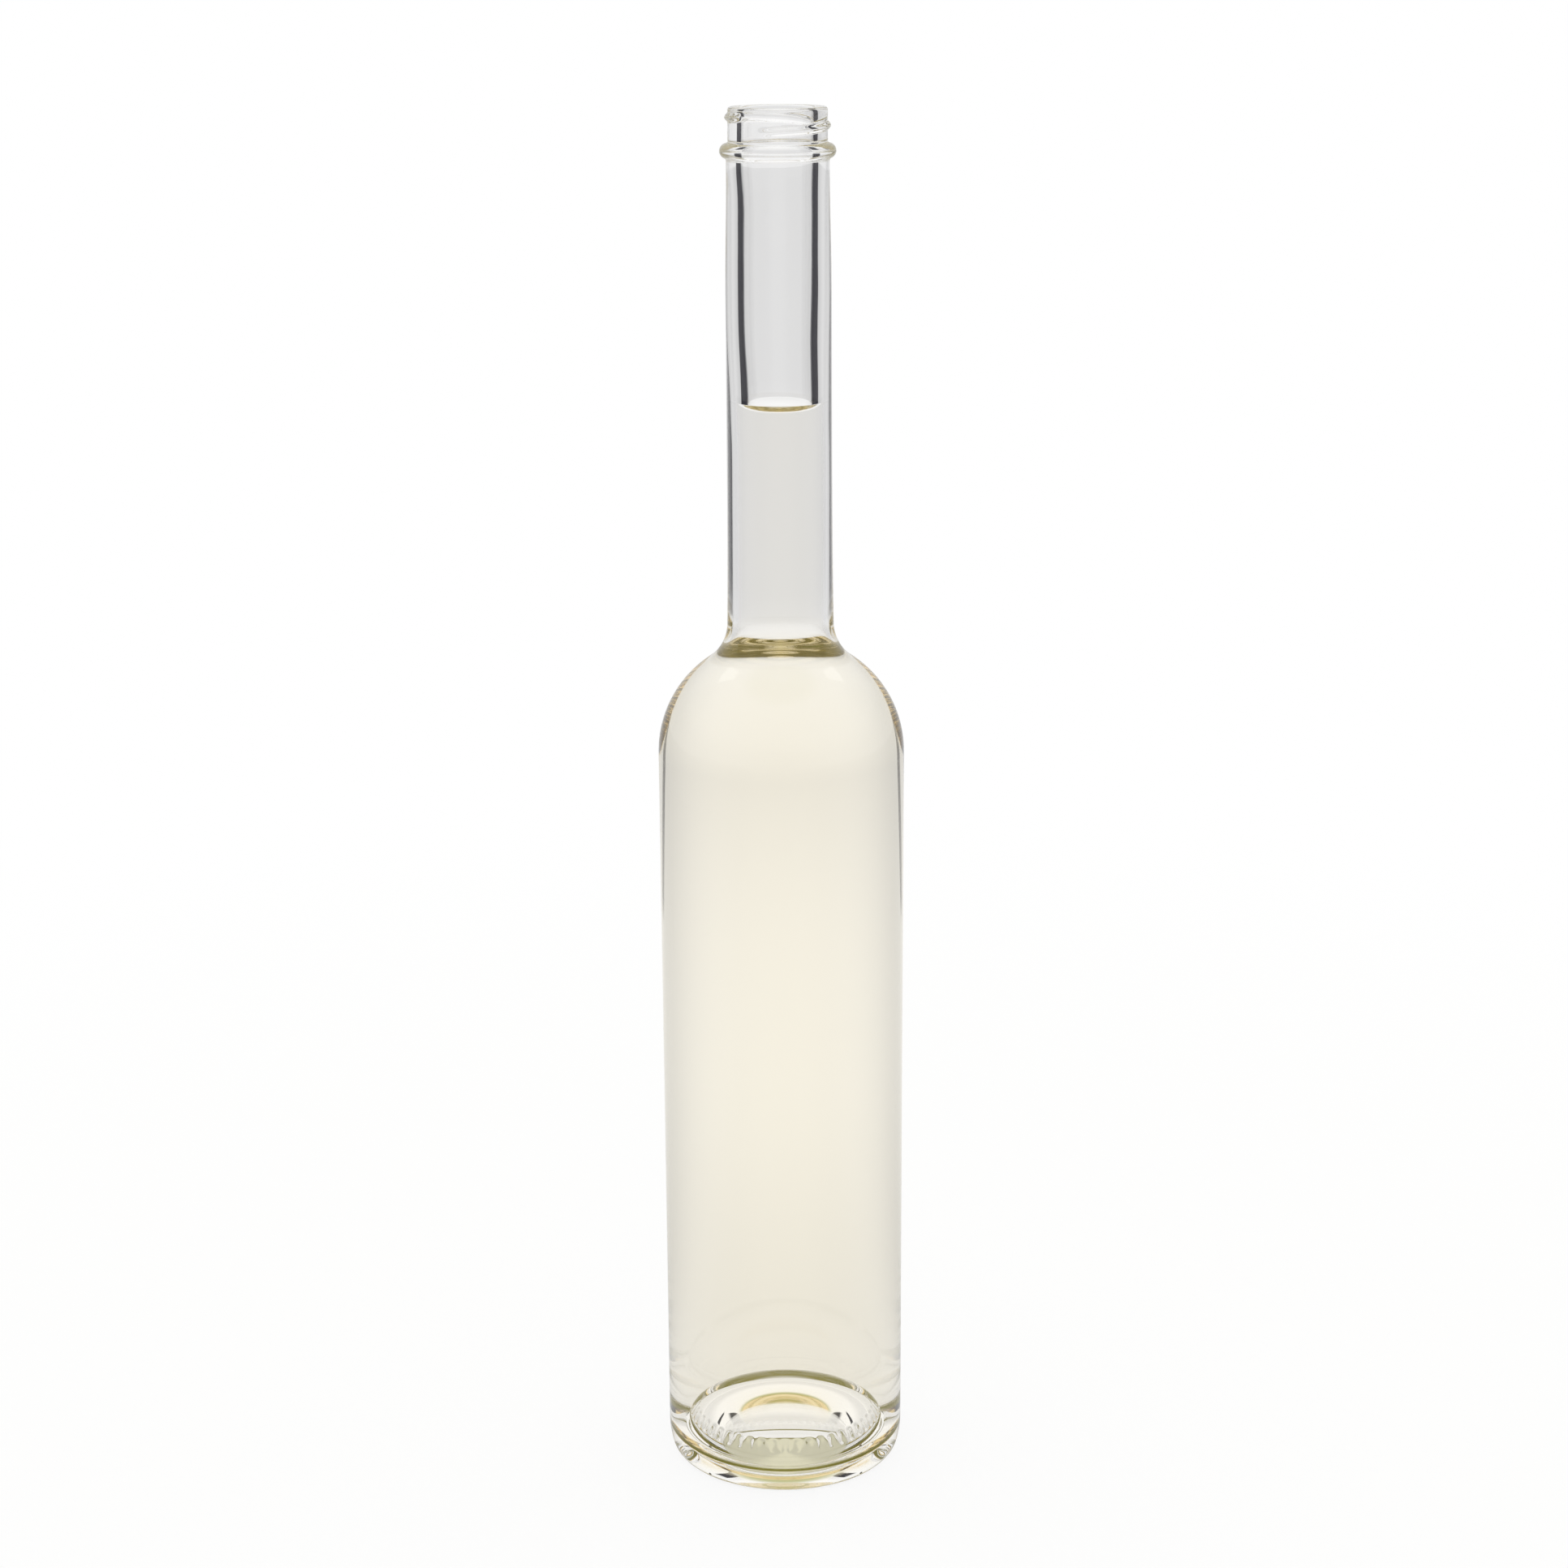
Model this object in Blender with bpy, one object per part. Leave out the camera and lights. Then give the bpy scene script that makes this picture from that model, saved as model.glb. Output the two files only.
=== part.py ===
"""A clear glass bottle with a screw finish, and the pale liquid that stands in it.

The bottle is one moulded piece of glass, turned here from one closed outline: a bearing ring under a
domed punt, a heel swept in by a large arc and a small one, a straight body, a round shoulder, a long
neck, a transfer bead and the finish with its lip. The glass has the uneven wall of a blown bottle: thin
in the body, thick in the neck and at the heel, where the cavity has a curve of its own.

The frame's origin is the centre of the bearing ring, on the surface that the bottle stands on, and +Z
runs up the bottle's axis.
"""
import math

import bmesh
import bpy

# Driving sizes of the outside, in metres
body_radius = 0.0320
body_straight_height = 0.1907
heel_sweep_radius = 0.0200
heel_corner_radius = 0.0030
heel_sweep_angle = math.radians(16.7)
shoulder_radius = 0.0295
neck_root_fillet = 0.0120
neck_root_radius = 0.0137
neck_waist_radius = 0.0133
neck_top_radius = 0.01285
neck_length = 0.1165

# How soon the neck settles to its waist, and where it draws in to its top, as shares of its length
neck_settle_share = 0.20
neck_draw_share = 0.72
neck_top_share = 0.97

# Driving sizes of the finish, the part of the bottle that takes the closure
bead_radius = 0.0145
bead_round = 0.0019
bead_upper_fillet = 0.0006
bead_lower_fillet = 0.0008
finish_wall_radius = 0.0124
finish_wall_height = 0.0082
lip_round = 0.0008

# Driving sizes of the base
bearing_width = 0.0040
punt_depth = 0.0200
punt_radius = 0.0170
punt_fillet = 0.0015
shelf_rise = 0.0014

# Driving sizes of the cavity. The bore widens twice on its way up, to the throat and to the mouth, and both
# depths count from the lip to where the wider bore begins.
body_wall = 0.0030
base_thickness = 0.0048
cavity_floor_height = 0.0046
cavity_heel_radius = 0.0052
root_bore_fillet = 0.0140
neck_bore_radius = 0.0081
throat_radius = 0.00865
throat_depth = 0.0420
throat_taper_length = 0.0440
mouth_bore_radius = 0.0090
mouth_bore_depth = 0.0120
mouth_taper_length = 0.0130

# Driving sizes of the liquid: how far its level lies under the lip, and how it climbs the glass
fill_drop = 0.0748
meniscus_rise = 0.0021
meniscus_reach = 0.0014
liquid_gap = 0.0003

# How far a chord may lie from its arc, and the widest angle that one chord takes
facet_tolerance = 0.00008
widest_facet = math.radians(30)
neck_facets = 9
taper_facets = 6
meniscus_facets = 5


def facet_angle(radius):
    """The angle that one chord of an arc of this radius may span."""
    return min(2 * math.acos(1 - facet_tolerance / max(radius, facet_tolerance)), widest_facet)


def arc(centre, radius, start, end):
    """Points along an arc in the outline's plane, both ends included. Angles run from +r towards +z."""
    steps = max(2, math.ceil(abs(end - start) / facet_angle(radius)))
    points = []
    for step in range(steps + 1):
        angle = start + (end - start) * step / steps
        points.append((centre[0] + radius * math.cos(angle), centre[1] + radius * math.sin(angle)))
    return points


def height_beside(across, reach):
    """How far apart in height two circles' centres lie that touch at `reach` and stand `across` apart."""
    return math.sqrt(reach ** 2 - across ** 2)


def direction(start, end):
    """The angle of the line from one point of the outline's plane to another."""
    return math.atan2(end[1] - start[1], end[0] - start[0])


def smooth_step(share):
    """Eases from 0 to 1 with a level start and end, and stays there outside that range."""
    share = min(max(share, 0), 1)
    return share * share * (3 - 2 * share)


def without_repeats(points):
    """Drops a point that lies on the one before it, as where one arc runs into the next."""
    kept = [points[0]]
    for point in points[1:]:
        if math.dist(point, kept[-1]) > facet_tolerance / 2:
            kept.append(point)
    return kept


# Heights and centres that the driving sizes give, from the base up. The cavity's dome gets the one radius
# that runs smoothly into the trough round it.
heel_height = heel_sweep_radius * math.sin(heel_sweep_angle)
heel_height += heel_corner_radius * (1 - math.sin(heel_sweep_angle))
shoulder_start = heel_height + body_straight_height
shoulder_centre = (body_radius - shoulder_radius, shoulder_start)

root_across = neck_root_radius + neck_root_fillet - shoulder_centre[0]
neck_start = shoulder_start + height_beside(root_across, shoulder_radius + neck_root_fillet)
root_centre = (neck_root_radius + neck_root_fillet, neck_start)

neck_end = neck_start + neck_length
bead_centre_radius = bead_radius - bead_round
lower_across = neck_top_radius + bead_lower_fillet - bead_centre_radius
bead_height = neck_end + height_beside(lower_across, bead_round + bead_lower_fillet)
bead_centre = (bead_centre_radius, bead_height)
upper_across = finish_wall_radius + bead_upper_fillet - bead_centre_radius
bead_top = bead_height + height_beside(upper_across, bead_round + bead_upper_fillet)
lip_height = bead_top + finish_wall_height

cavity_radius = body_radius - body_wall
trough_centre = (cavity_radius - cavity_heel_radius, cavity_floor_height + cavity_heel_radius)
dome_top = punt_depth + base_thickness
dome_rise = dome_top - trough_centre[1]
cavity_dome_radius = trough_centre[0] ** 2 + dome_rise ** 2 - cavity_heel_radius ** 2
cavity_dome_radius /= 2 * (dome_rise + cavity_heel_radius)
cavity_dome_centre = (0, dome_top - cavity_dome_radius)

cavity_shoulder_radius = shoulder_radius - body_wall
bore_root_across = neck_bore_radius + root_bore_fillet - shoulder_centre[0]
bore_root_reach = cavity_shoulder_radius + root_bore_fillet
bore_start = shoulder_start + height_beside(bore_root_across, bore_root_reach)
bore_root_centre = (neck_bore_radius + root_bore_fillet, bore_start)
throat_start = lip_height - throat_depth
mouth_start = lip_height - mouth_bore_depth
fill_level = lip_height - fill_drop


def neck_radius(share):
    """The outside of the neck: it settles from the root to the waist, then draws in to the straight top."""
    settling = math.exp(-share / neck_settle_share)
    drawing = smooth_step((share - neck_draw_share) / (neck_top_share - neck_draw_share))
    return (neck_waist_radius + (neck_root_radius - neck_waist_radius) * settling
            - (neck_waist_radius - neck_top_radius) * drawing)


def bore_radius(height):
    """The bore is straight above the root, widens to the throat and widens once more to the mouth."""
    to_throat = smooth_step(1 - (throat_start - height) / throat_taper_length)
    to_mouth = smooth_step(1 - (mouth_start - height) / mouth_taper_length)
    return (neck_bore_radius + (throat_radius - neck_bore_radius) * to_throat
            + (mouth_bore_radius - throat_radius) * to_mouth)


def lip_outline():
    """From the bore over the sealing land to the finish wall, with both edges rounded."""
    centre_height = lip_height - lip_round
    inner = arc((mouth_bore_radius + lip_round, centre_height), lip_round, math.pi, math.pi / 2)
    outer = arc((finish_wall_radius - lip_round, centre_height), lip_round, math.pi / 2, 0)
    return inner + outer


def bead_outline():
    """Down from the finish wall round the transfer bead to the neck, with a fillet at either side."""
    upper_centre = (finish_wall_radius + bead_upper_fillet, bead_top)
    lower_centre = (neck_top_radius + bead_lower_fillet, neck_end)
    to_upper = direction(bead_centre, upper_centre)
    to_lower = direction(bead_centre, lower_centre)
    points = arc(upper_centre, bead_upper_fillet, math.pi, math.pi + to_upper)
    points += arc(bead_centre, bead_round, to_upper, to_lower)
    points += arc(lower_centre, bead_lower_fillet, math.pi + to_lower, math.pi)
    return points


def neck_outline():
    """Down the neck, its fillet and the shoulder to the top of the straight body."""
    points = []
    for step in range(neck_facets + 1):
        share = 1 - step / neck_facets
        points.append((neck_radius(share), neck_start + neck_length * share))
    to_root = direction(shoulder_centre, root_centre)
    points += arc(root_centre, neck_root_fillet, math.pi, math.pi + to_root)
    points += arc(shoulder_centre, shoulder_radius, to_root, 0)
    return points


def base_outline():
    """Round the heel, across the bearing ring and the shelf, and up the punt to the axis."""
    sweep_centre = (body_radius - heel_sweep_radius, heel_height)
    points = arc(sweep_centre, heel_sweep_radius, 0, -heel_sweep_angle)
    corner_across = (heel_sweep_radius - heel_corner_radius) * math.cos(heel_sweep_angle)
    corner_centre = (sweep_centre[0] + corner_across, heel_corner_radius)
    points += arc(corner_centre, heel_corner_radius, -heel_sweep_angle, -math.pi / 2)
    bearing_inner = (corner_centre[0] - bearing_width, 0)
    points.append(bearing_inner)
    punt_centre = (0, punt_depth - punt_radius)
    fillet_height = shelf_rise + punt_fillet
    fillet_across = height_beside(fillet_height - punt_centre[1], punt_radius + punt_fillet)
    fillet_centre = (fillet_across, fillet_height)
    to_bearing = direction(fillet_centre, bearing_inner)
    shelf_touch = to_bearing - math.acos(punt_fillet / math.dist(fillet_centre, bearing_inner))
    to_fillet = direction(punt_centre, fillet_centre)
    points += arc(fillet_centre, punt_fillet, shelf_touch, to_fillet - math.pi)
    points += arc(punt_centre, punt_radius, to_fillet, math.pi / 2)
    return points


def cavity_outline(gap):
    """The inside of the glass from the axis up to the lip, held `gap` clear of the wall."""
    to_trough = direction(cavity_dome_centre, trough_centre)
    points = arc(cavity_dome_centre, cavity_dome_radius + gap, math.pi / 2, to_trough)
    points += arc(trough_centre, cavity_heel_radius - gap, math.pi + to_trough, 2 * math.pi)
    to_root = direction(shoulder_centre, bore_root_centre)
    points += arc(shoulder_centre, cavity_shoulder_radius - gap, 0, to_root)
    points += arc(bore_root_centre, root_bore_fillet + gap, math.pi + to_root, math.pi)
    heights = [throat_start - throat_taper_length * step / taper_facets for step in range(taper_facets + 1)]
    heights += [mouth_start - mouth_taper_length * step / taper_facets for step in range(taper_facets + 1)]
    points += [(bore_radius(height) - gap, height) for height in sorted(heights)]
    return points


def liquid_outline():
    """The cavity's outline up to the fill level, closed by the surface with its meniscus."""
    contact = fill_level + meniscus_rise
    wall = cavity_outline(liquid_gap)
    points = [wall[0]]
    for low, high in zip(wall, wall[1:]):
        climbs = high[1] > low[1] and low[0] > 0
        if climbs and high[1] >= contact and low[1] < contact:
            share = (contact - low[1]) / (high[1] - low[1])
            points.append((low[0] + (high[0] - low[0]) * share, contact))
            break
        points.append(high)
    rim = points[-1][0]
    for step in range(1, meniscus_facets + 1):
        radius = rim * (1 - smooth_step(step / meniscus_facets))
        climb = meniscus_rise * math.exp((radius - rim) / meniscus_reach)
        points.append((radius, fill_level + climb))
    return points


def turned(name, outline, material):
    """Turns an outline, given from axis to axis, into one closed solid round +Z."""
    points = without_repeats(outline)
    points[0] = (0, points[0][1])
    points[-1] = (0, points[-1][1])
    quarter_steps = math.ceil(math.pi / 2 / facet_angle(body_radius))
    mesh = bpy.data.meshes.new(name)
    work = bmesh.new()
    ring = [work.verts.new((radius, 0, height)) for radius, height in points]
    edges = [work.edges.new(pair) for pair in zip(ring, ring[1:])]
    bmesh.ops.spin(work, geom=ring + edges, axis=(0, 0, 1), cent=(0, 0, 0), angle=2 * math.pi,
                   steps=4 * quarter_steps, use_merge=True)
    bmesh.ops.remove_doubles(work, verts=work.verts, dist=facet_tolerance / 10)
    bmesh.ops.recalc_face_normals(work, faces=work.faces)
    work.to_mesh(mesh)
    work.free()
    mesh.shade_smooth()
    mesh.set_sharp_from_angle(angle=widest_facet)
    mesh.materials.append(material)
    solid = bpy.data.objects.new(name, mesh)
    bpy.context.collection.objects.link(solid)
    return solid


def clear_material(name, colour, refraction):
    """A see-through Principled material with its own refraction."""
    material = bpy.data.materials.new(name)
    material.use_nodes = True
    shader = material.node_tree.nodes["Principled BSDF"]
    shader.inputs["Base Color"].default_value = (*colour, 1)
    shader.inputs["Roughness"].default_value = 0.02
    shader.inputs["Metallic"].default_value = 0
    shader.inputs["IOR"].default_value = refraction
    shader.inputs["Transmission Weight"].default_value = 1
    return material


def glass_bottle():
    """The one moulded piece of glass."""
    outline = cavity_outline(0) + lip_outline() + bead_outline() + neck_outline() + base_outline()
    return turned("glass_bottle", outline, clear_material("bottle_glass", (0.96, 0.97, 0.96), 1.52))


def liquid_fill():
    """The pale yellow liquid, which follows the cavity with a small gap."""
    return turned("liquid_fill", liquid_outline(), clear_material("pale_liquid", (0.96, 0.92, 0.74), 1.34))


def build():
    """Makes the bottle and its fill, carried by one empty on the bearing plane."""
    for thing in list(bpy.data.objects):
        bpy.data.objects.remove(thing, do_unlink=True)
    base = bpy.data.objects.new("bottle_base_point", None)
    bpy.context.collection.objects.link(base)
    for solid in (glass_bottle(), liquid_fill()):
        solid.parent = base


build()
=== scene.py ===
# %% [markdown]
# # A clear glass bottle with pale liquid in it
#
# The real thing is one blown piece of flint glass and a fill of pale yellow liquid. Nearly all that one sees
# of it is bent light: the wall's two faces, the liquid behind them and what stands round the bottle. So this
# lesson spends its effort on three things: the exact run of the glass, inside and out, the way light changes
# speed at each face, and a studio that gives the glass something to bend.
#
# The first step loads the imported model. It gives the sizes that everything here is fitted to.

import math

import bpy
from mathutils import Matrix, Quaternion, Vector


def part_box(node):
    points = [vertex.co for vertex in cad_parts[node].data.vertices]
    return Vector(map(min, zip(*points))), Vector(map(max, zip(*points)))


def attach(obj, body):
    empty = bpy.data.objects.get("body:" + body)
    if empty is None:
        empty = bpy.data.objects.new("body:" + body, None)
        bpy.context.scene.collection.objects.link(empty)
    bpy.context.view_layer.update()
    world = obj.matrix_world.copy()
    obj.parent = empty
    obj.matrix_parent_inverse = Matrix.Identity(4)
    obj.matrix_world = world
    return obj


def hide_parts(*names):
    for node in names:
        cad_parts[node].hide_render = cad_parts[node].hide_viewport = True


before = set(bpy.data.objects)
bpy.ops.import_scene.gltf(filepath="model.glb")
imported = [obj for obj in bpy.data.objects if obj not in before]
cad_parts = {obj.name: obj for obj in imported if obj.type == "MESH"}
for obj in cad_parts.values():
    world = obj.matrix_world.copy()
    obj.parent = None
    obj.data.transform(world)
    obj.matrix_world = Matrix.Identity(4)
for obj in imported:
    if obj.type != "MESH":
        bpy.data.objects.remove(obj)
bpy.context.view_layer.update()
bottle_low, bottle_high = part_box("glass_bottle")
fill_low, fill_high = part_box("liquid_fill")
print("bottle", [round(size * 1000, 2) for size in bottle_high - bottle_low], "mm")
print("liquid", [round(size * 1000, 2) for size in fill_high - fill_low], "mm")

# %% [markdown]
# ## Sizes
#
# The outside is ruled by a few radii and heights. The overall radius and height come from the frame, so that
# the dressed bottle fills the space of the solid one. Lengths are in metres, and a share runs from 0 to 1.

# %% Sizes of the outside
body_radius = bottle_high.x
lip_height = bottle_high.z
heel_sweep_radius = 0.0200
heel_corner_radius = 0.0030
heel_sweep_angle = math.radians(16.7)
shoulder_radius = 0.0295
neck_root_fillet = 0.0120
neck_root_radius = 0.0137
neck_waist_radius = 0.0133
neck_top_radius = 0.01285
neck_length = 0.1165
neck_settle_share = 0.20
neck_draw_share = 0.72
neck_top_share = 0.97
bead_radius = 0.0145
bead_round = 0.0019
bead_upper_fillet = 0.0006
bead_lower_fillet = 0.0008
finish_wall_radius = 0.0124
finish_wall_height = 0.0082
lip_round = 0.0008

# %% Sizes of the base and the cavity
bearing_width = 0.0040
punt_depth = 0.0200
punt_radius = 0.0170
punt_fillet = 0.0015
shelf_rise = 0.0014
body_wall = 0.0030
base_thickness = 0.0048
cavity_floor_height = 0.0046
cavity_heel_radius = 0.0052
cavity_shoulder_radius = 0.0252
root_bore_fillet = 0.0140
neck_bore_radius = 0.0081
throat_radius = 0.00865
throat_depth = 0.0420
throat_taper_length = 0.0440
mouth_bore_radius = 0.0090
mouth_bore_depth = 0.0120
mouth_taper_length = 0.0130
fill_drop = 0.0748
meniscus_rise = 0.0021
meniscus_reach = 0.0014

# %% [markdown]
# ## One outline
#
# A bottle is round, so its whole shape is one line from the middle of the cavity's floor, up the inside, over
# the lip, down the outside and under the base to the axis again. Arcs that run smoothly into each other give
# it. A spin of hand-placed points would do too, but glass shows every flat and every kink as a bright or dark
# ring, so each round stretch is a true arc here, cut finely.

# %% Helpers for the outline
arc_spacing = 0.0013
finest_arc = 6


def arc(centre, radius, start, end, spacing=arc_spacing):
    """Points along an arc in the outline's plane, both ends included. Angles run from +r towards +z."""
    steps = max(finest_arc, math.ceil(abs(end - start) * radius / spacing))
    points = []
    for step in range(steps + 1):
        angle = start + (end - start) * step / steps
        points.append((centre[0] + radius * math.cos(angle), centre[1] + radius * math.sin(angle)))
    return points


def straight(start, end, spacing):
    """Points along a straight stretch, both ends included."""
    steps = max(1, math.ceil(math.dist(start, end) / spacing))
    return [(start[0] + (end[0] - start[0]) * step / steps, start[1] + (end[1] - start[1]) * step / steps)
            for step in range(steps + 1)]


def height_beside(across, reach):
    """How far apart in height two circles' centres lie that touch at `reach` and stand `across` apart."""
    return math.sqrt(reach ** 2 - across ** 2)


def direction(start, end):
    """The angle of the line from one point of the outline's plane to another."""
    return math.atan2(end[1] - start[1], end[0] - start[0])


def smooth_step(share):
    """Eases from 0 to 1 with a level start and end, and stays there outside that range."""
    share = min(max(share, 0), 1)
    return share * share * (3 - 2 * share)


# %% Heights and centres, from the lip down
bead_centre_radius = bead_radius - bead_round
upper_across = finish_wall_radius + bead_upper_fillet - bead_centre_radius
lower_across = neck_top_radius + bead_lower_fillet - bead_centre_radius
bead_top = lip_height - finish_wall_height
bead_height = bead_top - height_beside(upper_across, bead_round + bead_upper_fillet)
bead_centre = (bead_centre_radius, bead_height)
neck_end = bead_height - height_beside(lower_across, bead_round + bead_lower_fillet)
neck_start = neck_end - neck_length
root_centre = (neck_root_radius + neck_root_fillet, neck_start)
shoulder_across = body_radius - shoulder_radius
root_across = root_centre[0] - shoulder_across
shoulder_start = neck_start - height_beside(root_across, shoulder_radius + neck_root_fillet)
shoulder_centre = (shoulder_across, shoulder_start)
heel_height = heel_sweep_radius * math.sin(heel_sweep_angle)
heel_height += heel_corner_radius * (1 - math.sin(heel_sweep_angle))

# %% Heights and centres of the cavity
cavity_radius = body_radius - body_wall
trough_centre = (cavity_radius - cavity_heel_radius, cavity_floor_height + cavity_heel_radius)
dome_top = punt_depth + base_thickness
dome_rise = dome_top - trough_centre[1]
cavity_dome_radius = trough_centre[0] ** 2 + dome_rise ** 2 - cavity_heel_radius ** 2
cavity_dome_radius /= 2 * (dome_rise + cavity_heel_radius)
dome_centre = (0, dome_top - cavity_dome_radius)
cavity_shoulder_across = cavity_radius - cavity_shoulder_radius
cavity_shoulder_centre = (cavity_shoulder_across, shoulder_start)
bore_root_across = neck_bore_radius + root_bore_fillet - cavity_shoulder_across
bore_start = shoulder_start + height_beside(bore_root_across, cavity_shoulder_radius + root_bore_fillet)
bore_root_centre = (neck_bore_radius + root_bore_fillet, bore_start)
throat_start = lip_height - throat_depth
mouth_start = lip_height - mouth_bore_depth
fill_level = lip_height - fill_drop
contact_height = fill_level + meniscus_rise
print("shoulder from", round(shoulder_start * 1000, 2), "mm, level at", round(fill_level * 1000, 2), "mm")

# %% [markdown]
# ## The inside
#
# The glass is blown against a mould, so only the outside has the mould's true shape. The inside is where the
# bubble ended: a dome over the punt, a trough round it, a thin body and a thick neck. The outline of the
# inside is kept by itself, because the liquid follows it.

# %% The cavity's outline
body_spacing = 0.0080
wet_bore_facets = 10
dry_bore_facets = 24


def bore_radius(height):
    """The bore is straight above the root, opens to the throat and opens once more at the mouth."""
    to_throat = smooth_step(1 - (throat_start - height) / throat_taper_length)
    to_mouth = smooth_step(1 - (mouth_start - height) / mouth_taper_length)
    return (neck_bore_radius + (throat_radius - neck_bore_radius) * to_throat
            + (mouth_bore_radius - throat_radius) * to_mouth)


def cavity_outline():
    """From the axis over the dome, up the body and through the bore to the foot of the lip."""
    to_trough = direction(dome_centre, trough_centre)
    to_root = direction(cavity_shoulder_centre, bore_root_centre)
    points = arc(dome_centre, cavity_dome_radius, math.pi / 2, to_trough)
    points += arc(trough_centre, cavity_heel_radius, math.pi + to_trough, 2 * math.pi, arc_spacing / 2)[1:]
    points += straight(points[-1], (cavity_radius, shoulder_start), body_spacing)[1:]
    points += arc(cavity_shoulder_centre, cavity_shoulder_radius, 0, to_root)[1:]
    points += arc(bore_root_centre, root_bore_fillet, math.pi + to_root, math.pi)[1:]
    wet_start = points[-1][1]
    top = lip_height - lip_round
    stretches = ((wet_start, contact_height, wet_bore_facets), (contact_height, top, dry_bore_facets))
    for low, high, facets in stretches:
        for step in range(1, facets + 1):
            height = low + (high - low) * step / facets
            points.append((bore_radius(height), height))
    return points


cavity = cavity_outline()
cavity[0] = (0, cavity[0][1])
print("the cavity's outline has", len(cavity), "points")

# %% [markdown]
# ## The outside
#
# From the lip the outline runs down the finish, where the closure grips, round the transfer bead by which
# the bottle was carried hot, down the neck and the shoulder, along the body, round the heel and in under the
# base, where the punt rises. The finish wall is cut more finely than the rest, because the thread is raised
# from it later.

# %% The outline of lip, finish and bead
finish_spacing = 0.00022
lip_spacing = 0.00022


def lip_outline():
    """From the bore over the sealing land to the finish wall, with both edges rounded."""
    centre_height = lip_height - lip_round
    inner = arc((mouth_bore_radius + lip_round, centre_height), lip_round, math.pi, math.pi / 2, lip_spacing)
    outer = arc((finish_wall_radius - lip_round, centre_height), lip_round, math.pi / 2, 0, lip_spacing)
    return inner[1:] + outer


def finish_outline():
    """Down the wall that carries the thread."""
    top = (finish_wall_radius, lip_height - lip_round)
    return straight(top, (finish_wall_radius, bead_top), finish_spacing)[1:]


def bead_outline():
    """Round the transfer bead, with a fillet at either side."""
    upper_centre = (finish_wall_radius + bead_upper_fillet, bead_top)
    lower_centre = (neck_top_radius + bead_lower_fillet, neck_end)
    to_upper = direction(bead_centre, upper_centre)
    to_lower = direction(bead_centre, lower_centre)
    points = arc(upper_centre, bead_upper_fillet, math.pi, math.pi + to_upper, lip_spacing)[1:]
    points += arc(bead_centre, bead_round, to_upper, to_lower, 2 * lip_spacing)[1:]
    points += arc(lower_centre, bead_lower_fillet, math.pi + to_lower, math.pi, lip_spacing)[1:]
    return points


# %% The outline of neck, shoulder, body and base
neck_facets = 18


def neck_radius(share):
    """The outside of the neck: it settles from the root to the waist, then draws in to the straight top."""
    settling = math.exp(-share / neck_settle_share)
    drawing = smooth_step((share - neck_draw_share) / (neck_top_share - neck_draw_share))
    return (neck_waist_radius + (neck_root_radius - neck_waist_radius) * settling
            - (neck_waist_radius - neck_top_radius) * drawing)


def neck_outline():
    """Down the neck, its fillet and the shoulder to the foot of the straight body."""
    points = []
    for step in range(1, neck_facets + 1):
        share = 1 - step / neck_facets
        points.append((neck_radius(share), neck_start + neck_length * share))
    to_root = direction(shoulder_centre, root_centre)
    points += arc(root_centre, neck_root_fillet, math.pi, math.pi + to_root)[1:]
    points += arc(shoulder_centre, shoulder_radius, to_root, 0)[1:]
    points += straight(points[-1], (body_radius, heel_height), 2 * body_spacing)[1:]
    return points


heel_sweep_centre = (body_radius - heel_sweep_radius, heel_height)
heel_corner_across = (heel_sweep_radius - heel_corner_radius) * math.cos(heel_sweep_angle)
heel_corner_centre = (heel_sweep_centre[0] + heel_corner_across, heel_corner_radius)
bearing_inner = (heel_corner_centre[0] - bearing_width, 0)
punt_centre = (0, punt_depth - punt_radius)
fillet_height = shelf_rise + punt_fillet
fillet_centre = (height_beside(fillet_height - punt_centre[1], punt_radius + punt_fillet), fillet_height)
bar_ring_low = 0.0066
bar_ring_high = 0.0104
bar_spacing = 0.00042
corner_spacing = 3 * lip_spacing


def heel_outline():
    """Round the heel and across the bearing ring."""
    points = arc(heel_sweep_centre, heel_sweep_radius, 0, -heel_sweep_angle)[1:]
    points += arc(heel_corner_centre, heel_corner_radius, -heel_sweep_angle, -math.pi / 2, corner_spacing)[1:]
    points.append(bearing_inner)
    return points


def punt_outline():
    """Over the shelf inside the bearing ring, round the fillet, up the steep flank and over the cap."""
    to_bearing = direction(fillet_centre, bearing_inner)
    shelf_touch = to_bearing - math.acos(punt_fillet / math.dist(fillet_centre, bearing_inner))
    to_fillet = direction(punt_centre, fillet_centre)
    over_bars = math.asin((bar_ring_high + bar_spacing - punt_centre[1]) / punt_radius)
    points = arc(fillet_centre, punt_fillet, shelf_touch, to_fillet - math.pi, arc_spacing / 2)
    points += arc(punt_centre, punt_radius, to_fillet, over_bars, bar_spacing)[1:]
    points += arc(punt_centre, punt_radius, over_bars, math.pi / 2)[1:]
    points[-1] = (0, points[-1][1])
    return points


# %% [markdown]
# ## What makes real glass uneven
#
# A turned outline alone would look drawn with a compass. A blown bore wanders a little from the axis and its
# wall is faintly wavy, and both show as soft bends in every line seen through the glass. Each point of the
# outline carries marks for the tree that turns it: how far its ring is pushed aside, how far it may waver,
# whether it carries the thread or the ring of bars under the base, and whether it lies in air or in liquid.

# %% Marks along the outline
# Each pair is a height over the fill level and how far the bore's middle lies to the right there.
bore_drifts = [(-0.012, 0.00025), (0, 0.00010), (0.020, -0.00018), (0.034, -0.00014), (0.050, -0.00004),
               (0.059, -0.00018)]
bore_course = [(fill_level + rise, aside) for rise, aside in bore_drifts]
bore_course = [(shoulder_start, 0)] + bore_course + [(lip_height - lip_round, 0)]
waver_settle_radius = 0.0080
waver_settle_height = 0.0040
bar_end_slope = 0.0006


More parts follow.
